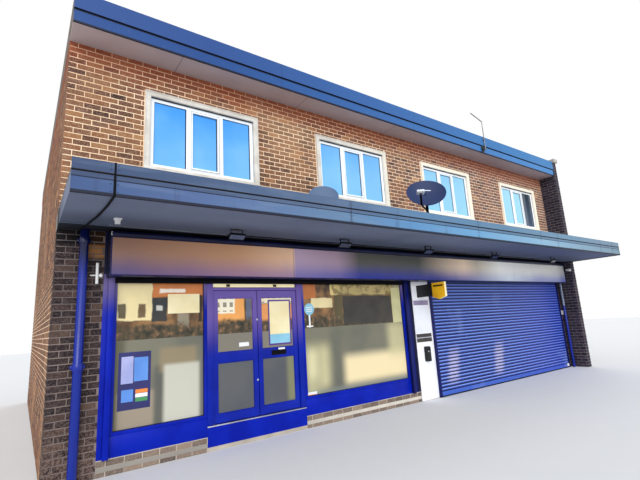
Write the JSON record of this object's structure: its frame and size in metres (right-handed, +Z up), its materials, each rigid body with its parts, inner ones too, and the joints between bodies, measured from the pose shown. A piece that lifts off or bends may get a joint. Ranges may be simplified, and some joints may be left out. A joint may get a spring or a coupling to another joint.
{
  "type": "corner shop building",
  "caption": "Two-storey brick end-of-parade shop with a projecting canopy, blue glazed shopfront, double doors, closed roller shutter and flat roof.",
  "frame": {"origin": "middle of the whole outline at the lowest ground level", "axes": "+X along the shopfront from the party wall to the end wall, +Y from the street into the building, +Z up"},
  "size_m": [13.83, 11.29, 7.1015],
  "materials": {
    "black_metal": "black satin",
    "blue_paint": "royal blue powder coat",
    "cast_cream": "painted cast stone",
    "clear_glass": "clear double glazing",
    "common_brick": "rough stock brick with cream mortar",
    "concrete": "cast concrete",
    "dark_brick": "dark plum brick with grey mortar",
    "dish_grey": "dark grey powder coat",
    "felt": "mineral felt",
    "galvanised": "galvanised tube",
    "grey_cladding": "grey-blue weathered cladding",
    "navy_metal": "navy gloss",
    "roof_paint": "mid-blue gloss paint on boards",
    "shop_glass": "clear above, frosted film below",
    "shutter_blue": "blue powder coat on curved slats",
    "sign_face": "plain vinyl faces, blue to mauve",
    "soffit_board": "warm grey weathered boards",
    "steel": "mill finish",
    "timber": "sawn timber",
    "white_board": "white laminated board",
    "white_plastic": "white housings",
    "white_upvc": "white plastic frame",
    "yellow_sign": "plain yellow plastic"
  },
  "bodies": {
    "building": {"ground_floor": "concrete", "party_wall": "common_brick", "front_pier": "dark_brick", "shop_piers": "dark_brick", "end_wall": "dark_brick", "end_wall_coping": "concrete", "shop_plinth": "dark_brick", "shop_beam": "concrete", "rear_wall_lower": "common_brick", "rear_door": "blue_paint", "first_floor": "concrete", "canopy_slab": "concrete", "canopy_fascia": "grey_cladding", "front_wall_upper": "common_brick", "rear_wall_upper": "common_brick", "roof_deck": "timber", "eaves_soffit": "soffit_board", "roof_fascia": "roof_paint", "felt_roofing": "felt", "window_surrounds": "cast_cream", "window_frames": "white_upvc", "window_glass": "clear_glass", "shopfront_posts": "blue_paint", "stall_risers": "blue_paint", "left_window_frame": "blue_paint", "right_window_frame": "blue_paint", "shop_glass": "shop_glass", "door_posts": "blue_paint", "door_head": "blue_paint", "door_threshold": "steel", "door_hinges": "steel", "shutter_guides": "blue_paint", "roller_shutter": "shutter_blue", "sign_box": "navy_metal", "sign_panels": "sign_face", "sign_hood": "navy_metal", "white_panel": "white_board", "wall_bin": "black_metal", "projecting_sign": "yellow_sign", "floodlights": "black_metal", "downpipes": "blue_paint", "satellite_dishes": "dish_grey", "roof_aerial": "galvanised", "cameras": "white_plastic", "canopy_cable": "black_metal", "wall_fittings": "white_plastic", "raised_shutter": "navy_metal"},
    "left_leaf": {"door_left": "blue_paint", "door_left_glass": "shop_glass"},
    "right_leaf": {"door_right": "blue_paint", "door_right_glass": "shop_glass", "letter_plate": "black_metal"}
  },
  "joints": [
    {"name": "left_door_hinge", "type": "hinge", "parent": "building", "child": "left_leaf", "pos_m": [-4.757, -3.756, 0.363], "axis": [0, 0, 1], "range_deg": [0, 90]},
    {"name": "right_door_hinge", "type": "hinge", "parent": "building", "child": "right_leaf", "pos_m": [-3.198, -3.756, 0.363], "axis": [0, 0, -1], "range_deg": [0, 90]}
  ]
}
